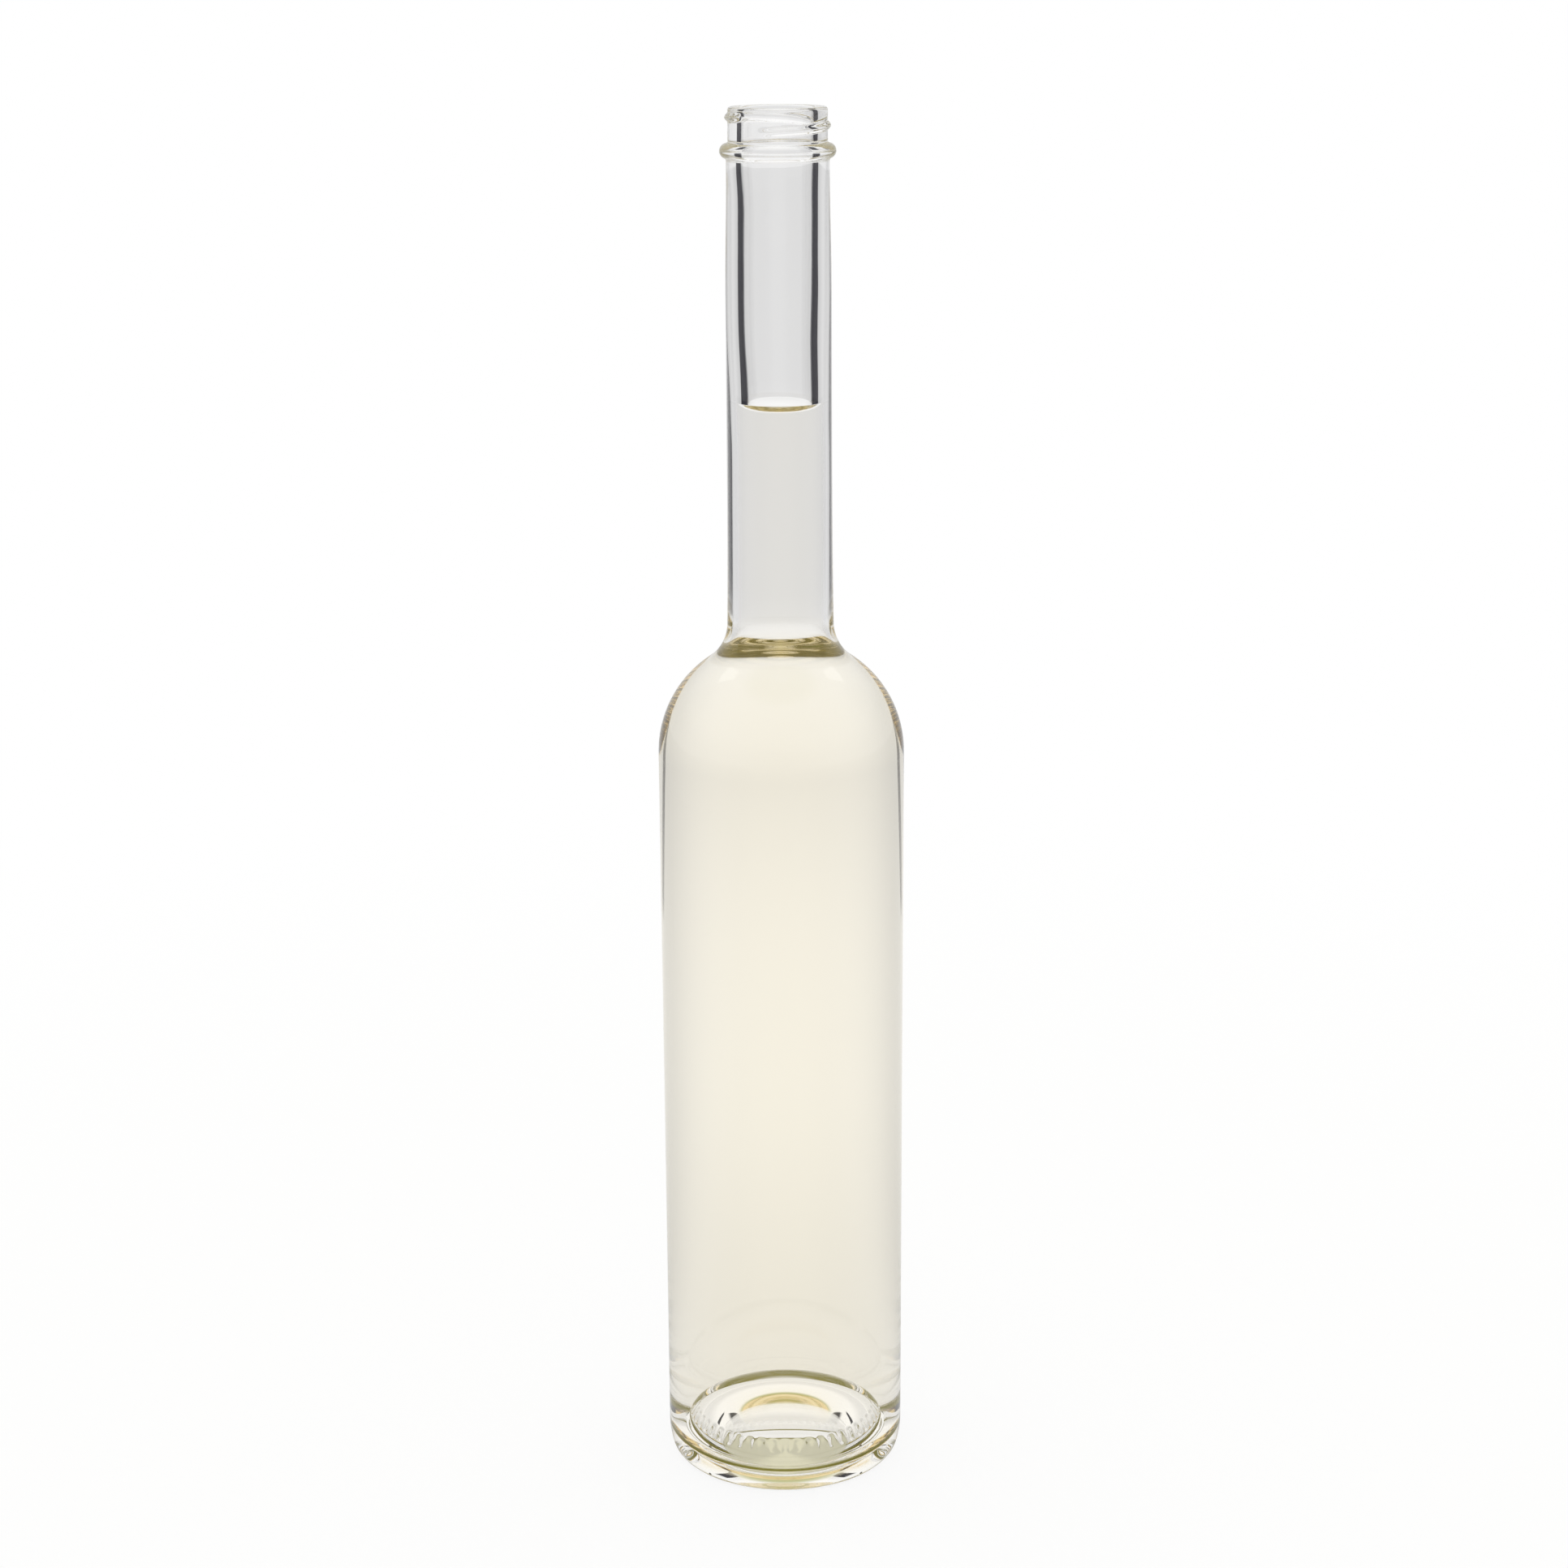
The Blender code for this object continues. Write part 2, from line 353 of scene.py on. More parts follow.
def drift(height):
    """How far aside the bore's middle lies: it wanders on its way up and is true at the lip."""
    if height <= bore_course[0][0] or height >= bore_course[-1][0]:
        return 0
    for (low, start), (high, end) in zip(bore_course, bore_course[1:]):
        if height <= high:
            return start + (end - start) * smooth_step((height - low) / (high - low))


def waver(radius, height):
    """The share of the unevenness that a ring takes: none at the axis and at the lip."""
    return (smooth_step(radius / waver_settle_radius)
            * smooth_step((lip_height - lip_round - height) / waver_settle_height))


def bar_share(point):
    """1 where the ring of bars on the punt's flank has its full height, 0 outside it."""
    height = point[1]
    lower = smooth_step((height - bar_ring_low) / bar_end_slope)
    return lower * smooth_step((bar_ring_high - height) / bar_end_slope)


def outline_mesh(name, rows):
    """A line of edges whose points hold the marks: rows of (point, marks)."""
    mesh = bpy.data.meshes.new(name)
    mesh.from_pydata([(point[0], 0, point[1]) for point, marks in rows],
                     [(i, i + 1) for i in range(len(rows) - 1)], [])
    for mark in ("aside", "waver", "thread", "bars", "in_air"):
        layer = mesh.attributes.new(mark, "FLOAT", "POINT")
        layer.data.foreach_set("value", [marks.get(mark, 0) for point, marks in rows])
    line = bpy.data.objects.new(name, mesh)
    bpy.context.scene.collection.objects.link(line)
    return line


# %% The glass outline with its marks
def inside_marks(point):
    """The marks of a point on the inside of the glass."""
    radius, height = point
    wet = height < contact_height - lip_spacing / 2
    return {"aside": drift(height), "waver": waver(radius, height), "in_air": 0 if wet else 1}


def glass_rows():
    """The whole outline of the glass, from the punt round to the cavity's floor, so that it faces out."""
    rows = [(point, inside_marks(point)) for point in cavity]
    rows += [(point, {"in_air": 1}) for point in lip_outline()]
    rows += [(point, {"in_air": 1, "thread": 1}) for point in finish_outline()]
    rows += [(point, {"in_air": 1}) for point in bead_outline() + neck_outline() + heel_outline()]
    rows += [(point, {"in_air": 1, "bars": bar_share(point)}) for point in punt_outline()]
    return rows[::-1]


glass_line = outline_mesh("glass_outline", glass_rows())
print("the glass outline has", len(glass_line.data.vertices), "points")

# %% [markdown]
# ## The liquid's outline
#
# The liquid takes the cavity's own line, drawn in by a hair, so that the two skins never cross. Its open
# surface is level in the middle and climbs the glass at the rim, because water wets glass. That meniscus is
# what shows as the fine bright line round the level.

# %% Offset the cavity for the liquid
skin_gap = 0.00001
meniscus_facets = 16


def drawn_in(points, gap):
    """Moves each point off the wall by `gap`, square to the line through its neighbours."""
    moved = []
    for i, (radius, height) in enumerate(points):
        before = points[max(i - 1, 0)]
        after = points[min(i + 1, len(points) - 1)]
        run = Vector((after[0] - before[0], after[1] - before[1])).normalized()
        moved.append((radius - run.y * gap, height + run.x * gap))
    return moved


def liquid_rows():
    """The wetted wall from the axis to the rim, and the open surface back to the axis."""
    wetted = [point for point in cavity if point[1] <= contact_height + lip_spacing / 2]
    wall = drawn_in(wetted, skin_gap)
    wall[0] = (0, wall[0][1])
    rows = [(point, {"aside": drift(rest[1]), "waver": waver(*rest)}) for point, rest in zip(wall, wetted)]
    rim, rim_marks = rows[-1]
    rim_marks["in_air"] = 1
    for step in range(1, meniscus_facets + 1):
        radius = rim[0] * (1 - smooth_step(step / meniscus_facets))
        climb = meniscus_rise * math.exp((radius - rim[0]) / meniscus_reach)
        marks = dict(rim_marks, waver=rim_marks["waver"] * radius / rim[0])
        rows.append(((radius, fill_level + climb), marks))
    return rows


liquid_line = outline_mesh("liquid_outline", liquid_rows())
print("the liquid's outline has", len(liquid_line.data.vertices), "points")

# %% [markdown]
# ## A tree that turns an outline
#
# Blender's Screw modifier could turn the line, but it can't raise a thread that winds round, stamp bars under
# the base or let the bore wander. A Geometry Nodes tree can: it lays a grid with one column for each step
# of the turn and one row for each point of the outline, looks up the outline's point for every grid point,
# and works out where it goes. Both the glass and the liquid run through the same tree, so the liquid follows
# each waver of the wall.

# %% Helpers for node trees
def node(tree, kind, feeds=None, **settings):
    """Adds a node, sets it up, and feeds its inputs with plain values or with other nodes' sockets."""
    made = tree.nodes.new(kind)
    for name, value in settings.items():
        setattr(made, name, value)
    for key, value in (feeds or {}).items():
        if isinstance(value, bpy.types.NodeSocket):
            tree.links.new(value, made.inputs[key])
        else:
            made.inputs[key].default_value = value
    return made


def maths(tree, operation, *values):
    """One sum on numbers, given as plain values or sockets."""
    return node(tree, "ShaderNodeMath", dict(enumerate(values)), operation=operation).outputs[0]


def ramp(tree, value, low, high, start=0, end=1):
    """Runs smoothly from `start` at `low` to `end` at `high`."""
    feeds = {"Value": value, "From Min": low, "From Max": high, "To Min": start, "To Max": end}
    return node(tree, "ShaderNodeMapRange", feeds, interpolation_type="SMOOTHSTEP").outputs["Result"]


def blend(tree, share, first, second):
    """Mixes two colours, given as three numbers each or as sockets, from `first` at 0 to `second` at 1."""
    mix = node(tree, "ShaderNodeMix", {"Factor": share}, data_type="RGBA")
    for key, colour in (("A", first), ("B", second)):
        if isinstance(colour, bpy.types.NodeSocket):
            tree.links.new(colour, mix.inputs[key])
        else:
            mix.inputs[key].default_value = (*colour, 1)
    return mix.outputs["Result"]


def mark(tree, outline, place, name):
    """Looks up one of the outline's marks at a grid point's place along it."""
    reader = node(tree, "GeometryNodeInputNamedAttribute", {"Name": name}, data_type="FLOAT")
    feeds = {"Geometry": outline, "Value": reader.outputs["Attribute"], "Index": place}
    return node(tree, "GeometryNodeSampleIndex", feeds, data_type="FLOAT").outputs["Value"]


# %% [markdown]
# ## The thread, the bars and the waver as fields
#
# The finish has a single right-hand thread that winds not quite once round, rounded and with ends that fade
# into the wall. Its height over the wall is a formula in the turn's angle and the height, so it needs no
# piece of its own and leaves no seam in the glass. The ring under the base is the plain knurl that many
# bottles have there: short bars, alike all the way round.

# %% Fields that raise the surface
noise_middle = 0.5


def thread_swell(tree, angle, height, sizes):
    """How far the thread stands out of the finish wall at an angle in degrees and a height."""
    turned = maths(tree, "MODULO", maths(tree, "ADD", angle, sizes["Thread gap angle"]), 360)
    along = maths(tree, "SUBTRACT", turned, sizes["Thread gap angle"])
    climb = maths(tree, "MULTIPLY", maths(tree, "DIVIDE", along, 360), sizes["Thread pitch"])
    middle = maths(tree, "ADD", climb, sizes["Thread height at front"])
    across = maths(tree, "DIVIDE", maths(tree, "SUBTRACT", height, middle), sizes["Thread half width"])
    inside = maths(tree, "MAXIMUM", maths(tree, "SUBTRACT", 1, maths(tree, "MULTIPLY", across, across)), 0)
    crown = maths(tree, "POWER", inside, sizes["Thread roundness"])
    run_in = maths(tree, "ADD", sizes["Thread start angle"], sizes["Thread fade angle"])
    run_out = maths(tree, "SUBTRACT", sizes["Thread end angle"], sizes["Thread fade angle"])
    ends = maths(tree, "MULTIPLY", ramp(tree, along, sizes["Thread start angle"], run_in),
                 maths(tree, "SUBTRACT", 1, ramp(tree, along, run_out, sizes["Thread end angle"])))
    return maths(tree, "MULTIPLY", maths(tree, "MULTIPLY", crown, ends), sizes["Thread depth"])


def bar_swell(tree, turn, sizes):
    """How far the ring of bars stands out of the punt's flank, at an angle in radians."""
    wave = maths(tree, "COSINE", maths(tree, "MULTIPLY", turn, sizes["Bar count"]))
    bar = ramp(tree, wave, sizes["Bar foot wave"], sizes["Bar crown wave"])
    return maths(tree, "MULTIPLY", bar, sizes["Bar height"])


def wall_waver(tree, turn, height, sizes):
    """A soft unevenness that closes on itself round the bottle."""
    here = node(tree, "ShaderNodeCombineXYZ", {
        "X": maths(tree, "COSINE", turn), "Y": maths(tree, "SINE", turn),
        "Z": maths(tree, "MULTIPLY", height, sizes["Waver rate"])}).outputs[0]
    noise = node(tree, "ShaderNodeTexNoise", {"Vector": here, "Scale": sizes["Waver scale"],
                                              "Detail": sizes["Waver detail"],
                                              "Roughness": sizes["Waver roughness"]})
    centred = maths(tree, "SUBTRACT", noise.outputs["Fac"], noise_middle)
    return maths(tree, "MULTIPLY", centred, sizes["Waver depth"])


# %% The turning tree
turning_sizes = {
    "Steps": 288,
    "Thread depth": 0.00078,
    "Thread half width": 0.00115,
    "Thread roundness": 1.4,
    "Thread pitch": 0.0040,
    "Thread height at front": 0.3581,
    "Thread start angle": -115.0,
    "Thread end angle": 232.0,
    "Thread fade angle": 26.0,
    "Thread gap angle": 121.5,
    "Bar count": 36,
    "Bar height": 0.00028,
    "Bar foot wave": -0.35,
    "Bar crown wave": 0.75,
    "Waver depth": 0.00012,
    "Waver rate": 55.0,
    "Waver scale": 1.0,
    "Waver detail": 2.0,
    "Waver roughness": 0.35,
    "Weld distance": 0.000001,
}
half_a_step = 0.5
nearly_all_air = 0.99


def turning_tree():
    """The tree that turns a marked outline into a closed skin."""
    tree = bpy.data.node_groups.new("turn_outline", "GeometryNodeTree")
    tree.interface.new_socket("Outline", in_out="INPUT", socket_type="NodeSocketGeometry")
    for name, value in turning_sizes.items():
        kind = "NodeSocketInt" if isinstance(value, int) else "NodeSocketFloat"
        tree.interface.new_socket(name, in_out="INPUT", socket_type=kind)
    tree.interface.new_socket("Material", in_out="INPUT", socket_type="NodeSocketMaterial")
    tree.interface.new_socket("Skin", in_out="OUTPUT", socket_type="NodeSocketGeometry")
    given = tree.nodes.new("NodeGroupInput").outputs
    outline = given["Outline"]

    points = node(tree, "GeometryNodeAttributeDomainSize", {"Geometry": outline}).outputs["Point Count"]
    columns = maths(tree, "ADD", given["Steps"], 1)
    grid = node(tree, "GeometryNodeMeshGrid", {"Vertices X": columns, "Vertices Y": points}).outputs["Mesh"]
    index = tree.nodes.new("GeometryNodeInputIndex").outputs[0]
    step = maths(tree, "FLOOR", maths(tree, "DIVIDE", maths(tree, "ADD", index, half_a_step), points))
    place = maths(tree, "SUBTRACT", index, maths(tree, "MULTIPLY", step, points))
    turn = maths(tree, "MULTIPLY", maths(tree, "DIVIDE", step, given["Steps"]), 2 * math.pi)
    angle = maths(tree, "DEGREES", turn)

    position = tree.nodes.new("GeometryNodeInputPosition").outputs[0]
    sampled = node(tree, "GeometryNodeSampleIndex", {"Geometry": outline, "Value": position, "Index": place},
                   data_type="FLOAT_VECTOR").outputs["Value"]
    split = node(tree, "ShaderNodeSeparateXYZ", {0: sampled})
    radius, height = split.outputs["X"], split.outputs["Z"]

    thread = thread_swell(tree, angle, height, given)
    thread = maths(tree, "MULTIPLY", thread, mark(tree, outline, place, "thread"))
    bars = maths(tree, "MULTIPLY", bar_swell(tree, turn, given), mark(tree, outline, place, "bars"))
    wavers = wall_waver(tree, turn, height, given)
    wavers = maths(tree, "MULTIPLY", wavers, mark(tree, outline, place, "waver"))
    raised = maths(tree, "SUBTRACT", maths(tree, "ADD", radius, thread), bars)
    reach = maths(tree, "ADD", raised, wavers)
    along_x = maths(tree, "MULTIPLY", reach, maths(tree, "COSINE", turn))
    moved = node(tree, "ShaderNodeCombineXYZ", {
        "X": maths(tree, "ADD", along_x, mark(tree, outline, place, "aside")),
        "Y": maths(tree, "MULTIPLY", reach, maths(tree, "SINE", turn)),
        "Z": height}).outputs[0]

    feeds = {"Geometry": grid, "Name": "in_air", "Value": mark(tree, outline, place, "in_air")}
    marked = node(tree, "GeometryNodeStoreNamedAttribute", feeds, data_type="FLOAT", domain="POINT")
    placed = node(tree, "GeometryNodeSetPosition", {"Geometry": marked.outputs[0], "Position": moved})
    feeds = {"Geometry": placed.outputs[0], "Distance": given["Weld distance"]}
    closed = node(tree, "GeometryNodeMergeByDistance", feeds)
    reader = node(tree, "GeometryNodeInputNamedAttribute", {"Name": "in_air"}, data_type="FLOAT")
    all_air = maths(tree, "GREATER_THAN", reader.outputs["Attribute"], nearly_all_air)
    feeds = {"Geometry": closed.outputs[0], "Name": "meets_air", "Value": all_air}
    faces = node(tree, "GeometryNodeStoreNamedAttribute", feeds, data_type="FLOAT", domain="FACE")
    smooth = node(tree, "GeometryNodeSetShadeSmooth", {"Geometry": faces.outputs[0]})
    real = node(tree, "GeometryNodeRealizeInstances", {"Geometry": smooth.outputs[0]})
    feeds = {"Geometry": real.outputs[0], "Material": given["Material"]}
    finished = node(tree, "GeometryNodeSetMaterial", feeds)
    tree.links.new(finished.outputs[0], tree.nodes.new("NodeGroupOutput").inputs["Skin"])
    return tree


turn_outline = turning_tree()
print("the turning tree has", len(turn_outline.nodes), "nodes")

# %% [markdown]
# ## Glass and liquid
#
# Light bends where its speed changes, so what counts at each face is the ratio of the two sides. A face of
# the glass that meets air takes the glass's own refraction. A face that meets the liquid takes the ratio of
# glass to liquid, which is why a full bottle looks so much clearer than its empty neck. The liquid's side
# then bends nothing more, and only its open surface has the liquid's own refraction. One material does this
# for each piece by reading the mark that the tree left on the faces.
#
# The liquid's colour is in its depth, not on its skin: a thin layer is nearly clear and a long way through
# is a deep yellow. Volume Absorption gives that, with one colour and one density.

# %% Helpers for materials
glass_refraction = 1.52
liquid_refraction = 1.34
grain_detail = 3.0


def clear_material(name, refraction, wet_refraction, tint_low, tint_high, grain_scale, grain_height):
    """A clear Principled material with a faint procedural tint and grain, whose wet faces bend light less."""
    material = bpy.data.materials.new(name)
    material.use_nodes = True
    tree = material.node_tree
    shader = tree.nodes["Principled BSDF"]
    shader.inputs["Transmission Weight"].default_value = 1
    shader.inputs["IOR"].default_value = refraction
    shader.inputs["Roughness"].default_value = 0
    meets = node(tree, "ShaderNodeAttribute", attribute_name="meets_air")
    feeds = {"Value": meets.outputs["Fac"], "To Min": wet_refraction, "To Max": refraction}
    tree.links.new(node(tree, "ShaderNodeMapRange", feeds).outputs["Result"], shader.inputs["IOR"])
    where = node(tree, "ShaderNodeTexCoord").outputs["Object"]
    noise = node(tree, "ShaderNodeTexNoise", {"Vector": where, "Scale": grain_scale, "Detail": grain_detail})
    tint = blend(tree, noise.outputs["Fac"], tint_low, tint_high)
    tree.links.new(tint, shader.inputs["Base Color"])
    bump = node(tree, "ShaderNodeBump", {"Height": noise.outputs["Fac"], "Distance": grain_height,
                                         "Strength": 1.0})
    tree.links.new(bump.outputs["Normal"], shader.inputs["Normal"])
    return material


# %% Flint glass
def flint_glass():
    """Clear bottle glass with a trace of warmth and a faintly uneven skin."""
    return clear_material("flint_glass", glass_refraction, glass_refraction / liquid_refraction,
                          tint_low=(0.996, 0.9945, 0.994), tint_high=(0.999, 0.9975, 0.997),
                          grain_scale=60.0, grain_height=0.00001)


# %% Pale yellow liquid
absorption_density = 10.0
absorption_colour = (0.94, 0.86, 0.62)


def pale_yellow_liquid():
    """Clear liquid that takes the blue out of light over some centimetres."""
    material = clear_material("pale_yellow_liquid", liquid_refraction, 1.0,
                              tint_low=(0.995, 0.995, 0.99), tint_high=(1.0, 1.0, 1.0),
                              grain_scale=30.0, grain_height=0.000002)
    tree = material.node_tree
    depth = node(tree, "ShaderNodeVolumeAbsorption", {"Density": absorption_density})
    depth.inputs["Color"].default_value = (*absorption_colour, 1)
    tree.links.new(depth.outputs[0], tree.nodes["Material Output"].inputs["Volume"])
    return material


# %% [markdown]
# ## Turn both pieces
#
# The tree runs as a modifier on the outline. Its result is taken off as a plain mesh, which is what rides on
# the frame and stands for the solid piece.

# %% Turn an outline into a piece
def turned(line, name, material):
    """Runs the tree on an outline and returns the finished skin as a plain mesh object."""
    modifier = line.modifiers.new("turn", "NODES")
    modifier.node_group = turn_outline
    for item in turn_outline.interface.items_tree:
        if item.name in turning_sizes:
            modifier[item.identifier] = turning_sizes[item.name]
        if item.name == "Material":
            modifier[item.identifier] = material
    evaluated = line.evaluated_get(bpy.context.evaluated_depsgraph_get())
    mesh = bpy.data.meshes.new_from_object(evaluated)
    mesh.name = name
    bpy.data.objects.remove(line)
    piece = bpy.data.objects.new(name, mesh)
    bpy.context.scene.collection.objects.link(piece)
    print(name, "has", sum(len(face.vertices) - 2 for face in mesh.polygons), "triangles")
    return piece


bottle = turned(glass_line, "blown_bottle", flint_glass())
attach(bottle, "root")
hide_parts("glass_bottle")

liquid = turned(liquid_line, "liquid_body", pale_yellow_liquid())
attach(liquid, "root")
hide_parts("liquid_fill")

# %% [markdown]
# ## The studio
#
# Clear glass on white needs two things. The white has to be even, or the glass looks dirty, and something
# dark has to stand where the glass bends light from, or its walls have no edge. So the floor and the world
# are white to the eye, and dark cards stand behind the bottle on the left and the right, where only bent
# light sees them.
#
# A real table isn't equally bright all over, and the bottle's own base throws a yellow-green patch on the
# ground that it stands on. Both are painted into the floor's glow for bent light: painted shade makes it a
# little darker close by, far off and to the sides, and a painted olive caustic lies under the bottle. That is
# what colours the thin band at the foot of the neck.

# %% Helpers for the floor's light
white = (1, 1, 1)
# Painted shade and light falloff in the floor's glow for bent light: darker close by, far off and to the
# sides.
floor_near_light = 0.865
floor_near_from = 0.05
floor_near_to = 0.30
floor_best_light = 0.965
floor_far_light = 0.755
floor_far_from = 0.35
floor_far_to = 1.10
floor_side_painted_shade = 0.22
floor_side_from = math.radians(12)
floor_side_full = math.radians(45)
# A painted olive caustic under the bottle, fading to darker painted shade near its ring; straight sight sees
# white there.
footprint_radius = 0.0312
footprint_edge = 0.0012
painted_caustic_light = (0.87, 0.84, 0.62)
ring_fades_from = 0.0170
ring_fades_to = 0.0230
painted_ring_shade = (0.24, 0.21, 0.0)


def painted_bent_floor_light(tree, where, away):
    """Painted light and shade on the floor for bent light: best at a middle distance, darker close by, far
    off and aside.
    """
    across = node(tree, "ShaderNodeSeparateXYZ", {0: where})
    turned_aside = maths(tree, "ARCTAN2", maths(tree, "ABSOLUTE", across.outputs["X"]),
                         maths(tree, "ABSOLUTE", across.outputs["Y"]))
    rise = ramp(tree, away, floor_near_from, floor_near_to, floor_near_light / floor_best_light, 1)
    fall = ramp(tree, away, floor_far_from, floor_far_to, floor_best_light, floor_far_light)
    side = ramp(tree, turned_aside, floor_side_from, floor_side_full, 1, 1 - floor_side_painted_shade)
    return maths(tree, "MULTIPLY", maths(tree, "MULTIPLY", rise, fall), side)


def painted_caustic_tone(tree, away, seen_straight):
    """White, but for a painted olive caustic under the bottle, darkening to painted shade near its ring,
    which bent light finds.
    """
    outside = ramp(tree, away, footprint_radius - footprint_edge, footprint_radius + footprint_edge)
    below = blend(tree, ramp(tree, away, ring_fades_from, ring_fades_to), painted_caustic_light, painted_ring_shade)
    return blend(tree, maths(tree, "MAXIMUM", outside, seen_straight), below, white)


# %% Floor
floor_size = 12.0
shadow_share = 0.12
shadow_fades_from = 0.25
shadow_fades_to = 0.70


def floor_material():
    """White to the eye, with a share of real shading that takes the bottle's soft shadow, and painted shade
    and a painted olive caustic in its glow for bent light.
    """
    material = bpy.data.materials.new("white_sweep")
    material.use_nodes = True
    tree = material.node_tree
    tree.nodes.remove(tree.nodes["Principled BSDF"])
    where = node(tree, "ShaderNodeTexCoord").outputs["Object"]
    away = node(tree, "ShaderNodeVectorMath", {0: where}, operation="LENGTH").outputs["Value"]
    path = node(tree, "ShaderNodeLightPath").outputs
    # This tone carries the painted caustic and painted shade under the bottle.
    tone = painted_caustic_tone(tree, away, path["Is Camera Ray"])
    # Bent light gets the painted floor light and shade; straight sight gets plain white.
    feeds = {"Factor": path["Is Camera Ray"], "A": painted_bent_floor_light(tree, where, away), "B": 1.0}
    strength = node(tree, "ShaderNodeMix", feeds).outputs["Result"]
    glow = node(tree, "ShaderNodeEmission", {"Color": tone, "Strength": strength})
    matt = node(tree, "ShaderNodeBsdfDiffuse", {"Color": tone})
    seen = maths(tree, "MAXIMUM", path["Is Glossy Ray"], path["Is Transmission Ray"])
    seen = maths(tree, "MAXIMUM", path["Is Camera Ray"], seen)
    shading = ramp(tree, away, shadow_fades_from, shadow_fades_to, shadow_share, 0)
    share = maths(tree, "MULTIPLY", seen, maths(tree, "SUBTRACT", 1, shading))
    both = node(tree, "ShaderNodeMixShader", {0: share, 1: matt.outputs[0], 2: glow.outputs[0]})
    tree.links.new(both.outputs[0], tree.nodes["Material Output"].inputs["Surface"])
    return material


def plate(name, corners, material):
    """A four-cornered piece of the studio, with its corners at the corners of its UV map."""
    mesh = bpy.data.meshes.new(name)
    mesh.from_pydata(corners, [], [(0, 1, 2, 3)])
    mesh.uv_layers.new(name="UVMap").data.foreach_set("uv", (0, 0, 1, 0, 1, 1, 0, 1))
    mesh.materials.append(material)
    made = bpy.data.objects.new(name, mesh)
    bpy.context.scene.collection.objects.link(made)
    return made


half = floor_size / 2
plate("floor", [(-half, -half, 0), (half, -half, 0), (half, half, 0), (-half, half, 0)], floor_material())
print("the floor is", floor_size, "m wide, with", floor_best_light, "of white at its best for bent light")

# %% World
horizon_light = 0.85
upper_light = 1.02
upper_light_from = 0.14
upper_light_full = 0.42
ceiling_tone = (0.53, 0.54, 0.28)
ceiling_from = 0.86
ceiling_full = 0.97


def white_world():
    """White behind the bottle, soft light from all sides, and a dim yellowish ceiling for bent light."""
    world = bpy.data.worlds.new("soft_white")
    world.use_nodes = True
    tree = world.node_tree
    straight = node(tree, "ShaderNodeLightPath").outputs["Is Camera Ray"]
    way = node(tree, "ShaderNodeSeparateXYZ", {0: node(tree, "ShaderNodeTexCoord").outputs["Generated"]})
    light = ramp(tree, way.outputs["Z"], upper_light_from, upper_light_full, horizon_light, upper_light)
    overhead = ramp(tree, way.outputs["Z"], ceiling_from, ceiling_full)
    overhead = maths(tree, "MULTIPLY", overhead, maths(tree, "SUBTRACT", 1, straight))
    strength = node(tree, "ShaderNodeMix", {"Factor": straight, "A": light, "B": 1.0})
    background = tree.nodes["Background"]
    tree.links.new(blend(tree, overhead, white, ceiling_tone), background.inputs["Color"])
    tree.links.new(strength.outputs["Result"], background.inputs["Strength"])
    bpy.context.scene.world = world


white_world()
print("bent light finds", horizon_light, "of white at the horizon and", upper_light, "above it")

# %% [markdown]
# ## Dark cards
#
# The black strips in the empty neck and the fine dark lines along the walls are dark things that stand out of
# sight, drawn in by the glass. Where a strip shows settles where its card stands: light was followed back
# through the glass from each strip, and the cards are no larger than the places that it came from. Their
# edges fade, as the edge of a card close by does, and only bent light sees them.

# %% Dark cards
card_distance = 0.20
card_colour = (0.006, 0.005, 0.014)
# Each card runs between two directions at its foot and its head, in degrees from straight behind the bottle.
card_sets = [
    {"name": "neck_card", "foot": (44.5, 77), "head": (44.5, 77), "low": 0.165, "high": 0.400,
     "side_fade_share": 0.18, "end_fade_share": 0.34},
    {"name": "body_card", "foot": (51, 60), "head": (38.5, 44.5), "low": 0.078, "high": 0.145,
     "side_fade_share": 0.35, "end_fade_share": 0.35},
]


def black_card(name, side_fade_share, end_fade_share):
    """Matt black card with soft edges, which only bent light sees. A fade is a share of half the card."""
    material = bpy.data.materials.new(name)
    material.use_nodes = True
    tree = material.node_tree
    shader = tree.nodes["Principled BSDF"]
    shader.inputs["Base Color"].default_value = (*card_colour, 1)
    shader.inputs["Roughness"].default_value = 1
    shader.inputs["Specular IOR Level"].default_value = 0
    place = node(tree, "ShaderNodeSeparateXYZ", {0: node(tree, "ShaderNodeTexCoord").outputs["UV"]})
    fades = []
    for axis, share in (("X", side_fade_share), ("Y", end_fade_share)):
        centred = maths(tree, "SUBTRACT", maths(tree, "MULTIPLY", place.outputs[axis], 2), 1)
        inward = maths(tree, "SUBTRACT", 1, maths(tree, "ABSOLUTE", centred))
        fades.append(ramp(tree, inward, 0, share))
    clear = node(tree, "ShaderNodeBsdfTransparent")
    both = node(tree, "ShaderNodeMixShader", {0: maths(tree, "MULTIPLY", *fades), 1: clear.outputs[0],
                                              2: shader.outputs[0]})
    tree.links.new(both.outputs[0], tree.nodes["Material Output"].inputs["Surface"])
    return material


def card_corner(turn, height):
    """A point at the cards' distance, in a direction in degrees from +Y, which is straight behind."""
    angle = math.radians(turn)
    return (card_distance * math.sin(angle), card_distance * math.cos(angle), height)


def card(name, sizes, side, material):
    """An upright card behind the bottle, on the left with a side of -1 and on the right with 1."""
    corners = [card_corner(side * turn, sizes["low"]) for turn in sizes["foot"]]
    corners += [card_corner(side * turn, sizes["high"]) for turn in reversed(sizes["head"])]
    made = plate(name, corners, material)
    made.visible_camera = False
    made.visible_diffuse = False
    made.visible_glossy = False
    made.visible_shadow = False


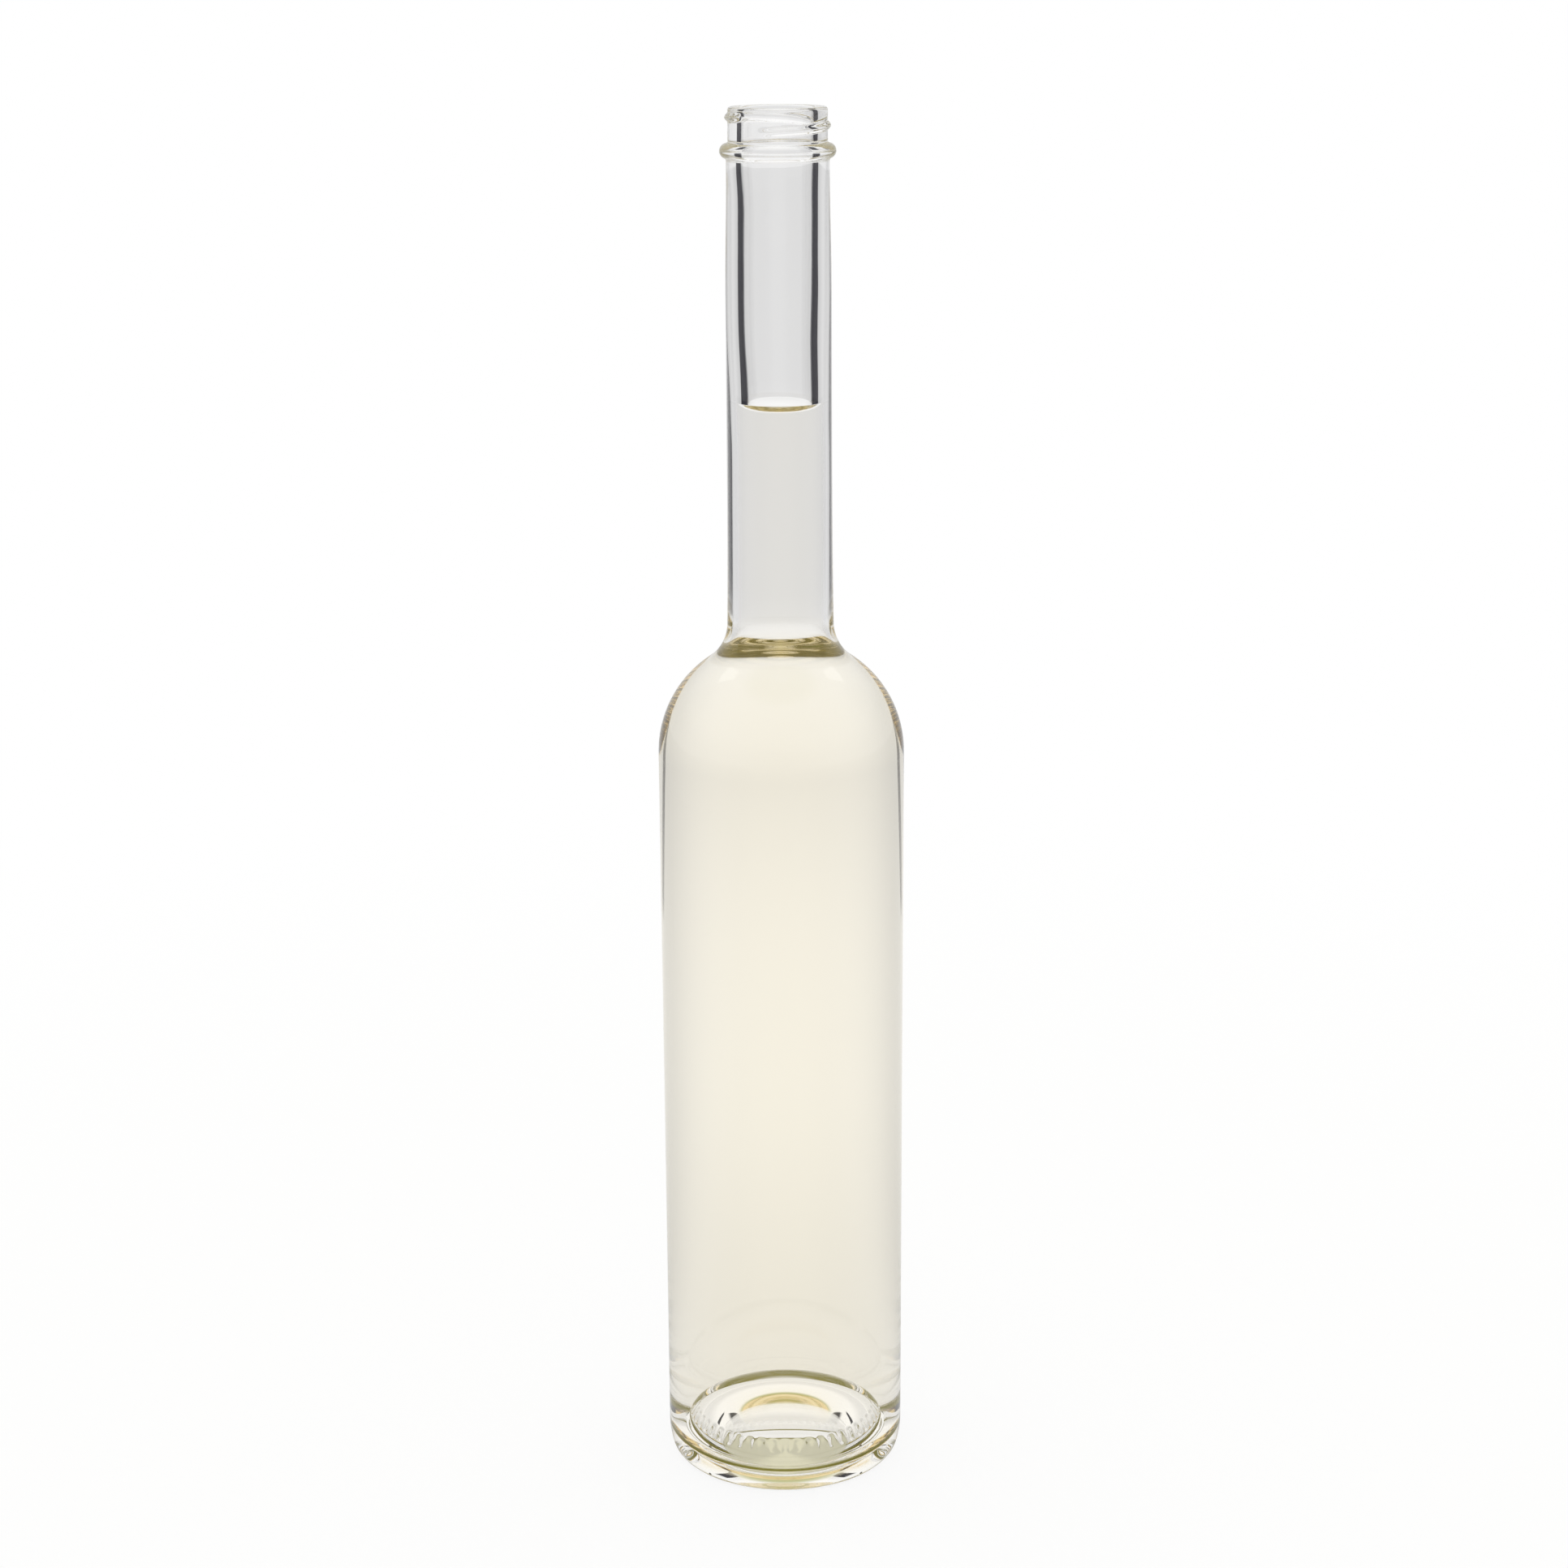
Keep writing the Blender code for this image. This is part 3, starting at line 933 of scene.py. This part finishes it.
sides = ((-1, "left"), (1, "right"))
for sizes in card_sets:
    card_black = black_card(f"black_{sizes['name']}", sizes["side_fade_share"], sizes["end_fade_share"])
    for side, side_name in sides:
        card(f"{sizes['name']}_{side_name}", sizes, side, card_black)
print("on each side, cards at", card_distance, "m:", [sizes["name"] for sizes in card_sets])

# %% [markdown]
# ## Soft boxes
#
# Two faint square lamps put a pale highlight on each side of the shoulder, where the photograph shows one.
# They are hidden from bent light, or each would show again inside the bottle.

# %% Soft boxes
softbox_size = 0.22
softbox_distance = 1.0
softbox_power = 0.12
# The way to each lamp from the foot of the shoulder.
softbox_aside, softbox_behind, softbox_above = 0.492, 0.413, 0.766


def softbox(name, side):
    """A square lamp that looks at the foot of the shoulder from above and behind, on one side."""
    light = bpy.data.lights.new(name, "AREA")
    light.shape = "SQUARE"
    light.size = softbox_size
    light.energy = softbox_power
    lamp = bpy.data.objects.new(name, light)
    out = Vector((side * softbox_aside, softbox_behind, softbox_above)).normalized()
    lamp.location = Vector((0, 0, shoulder_start)) + out * softbox_distance
    lamp.rotation_euler = out.to_track_quat("Z", "Y").to_euler()
    lamp.visible_transmission = False
    bpy.context.scene.collection.objects.link(lamp)


for side, side_name in sides:
    softbox(f"softbox_{side_name}", side)
print("two soft boxes of", softbox_power, "W each")

# %% [markdown]
# ## Camera
#
# The photograph looks slightly down on the bottle from close by. The camera's place and lens come from the
# widths and curves of the body's rings at several heights, and a small roll takes up the bottle's lean in
# the picture.

# %% Camera
camera_distance = 0.7499
camera_height = 0.40041
camera_pitch = math.radians(15.71)
camera_lens = 68.34
camera_sensor_width = 36
camera_roll = math.radians(-0.325)
camera_aside = 0.00066


def place_camera():
    """The photograph's view."""
    data = bpy.data.cameras.new("camera")
    data.lens = camera_lens
    data.sensor_width = camera_sensor_width
    camera = bpy.data.objects.new("camera", data)
    camera.location = (0, -camera_distance, camera_height)
    drop = camera_distance * math.tan(camera_pitch)
    gaze = Vector((camera_aside, camera_distance, -drop))
    turn = gaze.to_track_quat("-Z", "Y")
    line_of_sight = Vector((0, 0, 1))
    camera.rotation_mode = "QUATERNION"
    camera.rotation_quaternion = turn @ Quaternion(line_of_sight, camera_roll)
    bpy.context.scene.collection.objects.link(camera)
    bpy.context.scene.camera = camera


place_camera()
print("the camera stands", camera_distance, "m in front and", camera_height, "m up; lens", camera_lens, "mm")

# %% [markdown]
# ## Render settings that belong to the glass
#
# Light crosses many faces on its way through a full bottle, so the limit on bends is raised. The view
# transform is the plain one, in which white stays white.

# %% Light paths and view
most_bends = 96
most_fades = 16

scene = bpy.context.scene
scene.view_settings.view_transform = "Standard"
scene.cycles.max_bounces = most_bends
scene.cycles.transmission_bounces = most_bends
scene.cycles.glossy_bounces = most_bends
scene.cycles.transparent_max_bounces = most_fades
print("light may bend", most_bends, "times")
